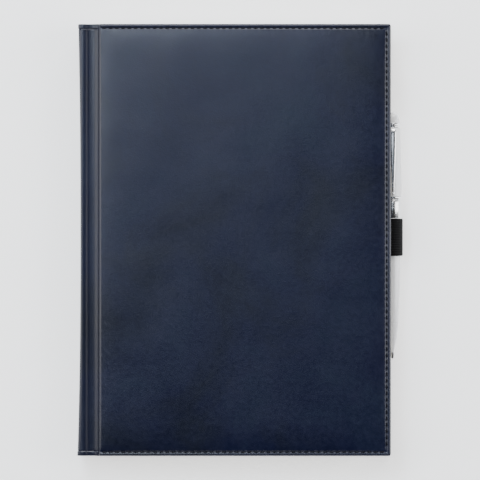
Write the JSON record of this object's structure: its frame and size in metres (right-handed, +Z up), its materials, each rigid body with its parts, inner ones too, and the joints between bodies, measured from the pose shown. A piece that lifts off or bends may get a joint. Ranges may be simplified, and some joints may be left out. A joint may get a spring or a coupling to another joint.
{
  "type": "pilot logbook",
  "caption": "Hard-bound logbook with a padded, edge-stitched navy leather cover, hollow spine, sewn page sections and a twist pen held in an elastic loop.",
  "frame": {"origin": "centre of the back cover's outer face, on the surface that the closed book lies on", "axes": "+X from the spine to the fore edge, +Y from tail to head, +Z up through the book to the front cover"},
  "size_m": [0.1803, 0.24, 0.0253],
  "materials": {
    "cover_leather": "fine-grained satin, mottled navy",
    "foam": "soft foam",
    "board": "greyboard",
    "endpaper": "matte",
    "page_paper": "matte, uncoated",
    "thread": "waxed polyester thread",
    "end_band": "woven cotton",
    "elastic": "ribbed woven elastic",
    "pen_white": "gloss lacquer",
    "pen_chrome": "polished",
    "pen_point": "turned steel",
    "pen_brass": "satin",
    "refill_plastic": "smooth"
  },
  "bodies": {
    "back_cover": {"back_leather": "cover_leather", "back_foam": "foam", "back_board": "board", "back_infill": "board", "back_lining": "endpaper", "back_stitching": "thread", "back_joint_leather": "cover_leather", "pen_loop": "elastic"},
    "lower_carrier": {"rear_flyleaf": "endpaper", "section_01": "page_paper"},
    "section_02": {"section_02": "page_paper"},
    "section_03": {"section_03": "page_paper"},
    "section_04": {"section_04": "page_paper"},
    "section_05": {"section_05": "page_paper"},
    "spine": {"spine_leather": "cover_leather", "spine_strip": "board", "spine_hollow_lining": "endpaper", "head_band": "end_band", "tail_band": "end_band"},
    "upper_carrier": {"front_flyleaf": "endpaper", "section_10": "page_paper"},
    "section_09": {"section_09": "page_paper"},
    "section_08": {"section_08": "page_paper"},
    "section_07": {"section_07": "page_paper"},
    "section_06": {"section_06": "page_paper"},
    "front_cover": {"front_leather": "cover_leather", "front_foam": "foam", "front_board": "board", "front_infill": "board", "front_lining": "endpaper", "front_stitching": "thread", "front_joint_leather": "cover_leather"},
    "pen_barrel": {"pen_barrel": "pen_white", "pen_nose": "pen_white", "pen_point": "pen_point", "pen_centre_band": "pen_chrome"},
    "pen_cap": {"pen_cap": "pen_white", "pen_cap_ring": "pen_chrome", "pen_finial_ring": "pen_chrome", "pen_finial": "pen_white", "pen_twist_sleeve": "pen_brass"},
    "pen_clip": {"pen_clip": "pen_chrome"},
    "pen_refill": {"pen_refill_tube": "refill_plastic", "pen_refill_tip": "pen_brass"}
  },
  "joints": [
    {"name": "back_cover_hinge", "type": "hinge", "parent": "back_cover", "child": "lower_carrier", "pos_m": [-0.0846, 0, 0.0032], "axis": [0, -1, 0], "range_deg": [0, 95]},
    {"name": "spread_open", "type": "hinge", "parent": "lower_carrier", "child": "spine", "pos_m": [-0.0846, 0, 0.0032], "axis": [0, 1, 0], "range_deg": [-90, 0]},
    {"name": "spread_upper", "type": "hinge", "parent": "spine", "child": "upper_carrier", "pos_m": [-0.0846, 0, 0.02213], "axis": [0, 1, 0], "range_deg": [-90, 0]},
    {"name": "front_cover_hinge", "type": "hinge", "parent": "upper_carrier", "child": "front_cover", "pos_m": [-0.0846, 0, 0.02213], "axis": [0, -1, 0], "range_deg": [0, 179]},
    {"name": "section_02_fan", "type": "slide", "parent": "lower_carrier", "child": "section_02", "axis": [-1, 0, 0], "range_m": [0, 0.00237]},
    {"name": "section_03_fan", "type": "slide", "parent": "section_02", "child": "section_03", "axis": [-1, 0, 0], "range_m": [0, 0.00237]},
    {"name": "section_04_fan", "type": "slide", "parent": "section_03", "child": "section_04", "axis": [-1, 0, 0], "range_m": [0, 0.00237]},
    {"name": "section_05_fan", "type": "slide", "parent": "section_04", "child": "section_05", "axis": [-1, 0, 0], "range_m": [0, 0.00237]},
    {"name": "section_09_fan", "type": "slide", "parent": "upper_carrier", "child": "section_09", "axis": [-1, 0, 0], "range_m": [0, 0.00237]},
    {"name": "section_08_fan", "type": "slide", "parent": "section_09", "child": "section_08", "axis": [-1, 0, 0], "range_m": [0, 0.00237]},
    {"name": "section_07_fan", "type": "slide", "parent": "section_08", "child": "section_07", "axis": [-1, 0, 0], "range_m": [0, 0.00237]},
    {"name": "section_06_fan", "type": "slide", "parent": "section_07", "child": "section_06", "axis": [-1, 0, 0], "range_m": [0, 0.00237]},
    {"name": "pen_slide", "type": "slide", "parent": "back_cover", "child": "pen_barrel", "axis": [0, 1, 0], "range_m": [0, 0.079]},
    {"name": "pen_twist", "type": "hinge", "parent": "pen_barrel", "child": "pen_cap", "pos_m": [0.088, 0.0241, 0.0103], "axis": [0, 1, 0], "range_deg": [0, 120]},
    {"name": "refill_travel", "type": "slide", "parent": "pen_barrel", "child": "pen_refill", "axis": [0, -1, 0], "range_m": [0, 0.0032]},
    {"name": "clip_flex", "type": "hinge", "parent": "pen_cap", "child": "pen_clip", "pos_m": [0.088, 0.062, 0.0148], "axis": [-1, 0, 0], "range_deg": [0, 4], "stiffness_Nm_per_rad": 2.7}
  ],
  "couplings": [
    {"joint": "spread_upper", "follows": "spread_open", "ratio": 1},
    {"joint": "section_02_fan", "follows": "spread_open", "m_per_rad": -0.001512},
    {"joint": "section_03_fan", "follows": "spread_open", "m_per_rad": -0.001512},
    {"joint": "section_04_fan", "follows": "spread_open", "m_per_rad": -0.001512},
    {"joint": "section_05_fan", "follows": "spread_open", "m_per_rad": -0.001512},
    {"joint": "section_09_fan", "follows": "spread_open", "m_per_rad": -0.001512},
    {"joint": "section_08_fan", "follows": "spread_open", "m_per_rad": -0.001512},
    {"joint": "section_07_fan", "follows": "spread_open", "m_per_rad": -0.001512},
    {"joint": "section_06_fan", "follows": "spread_open", "m_per_rad": -0.001512},
    {"joint": "pen_twist", "follows": "refill_travel", "rad_per_m": 654}
  ]
}
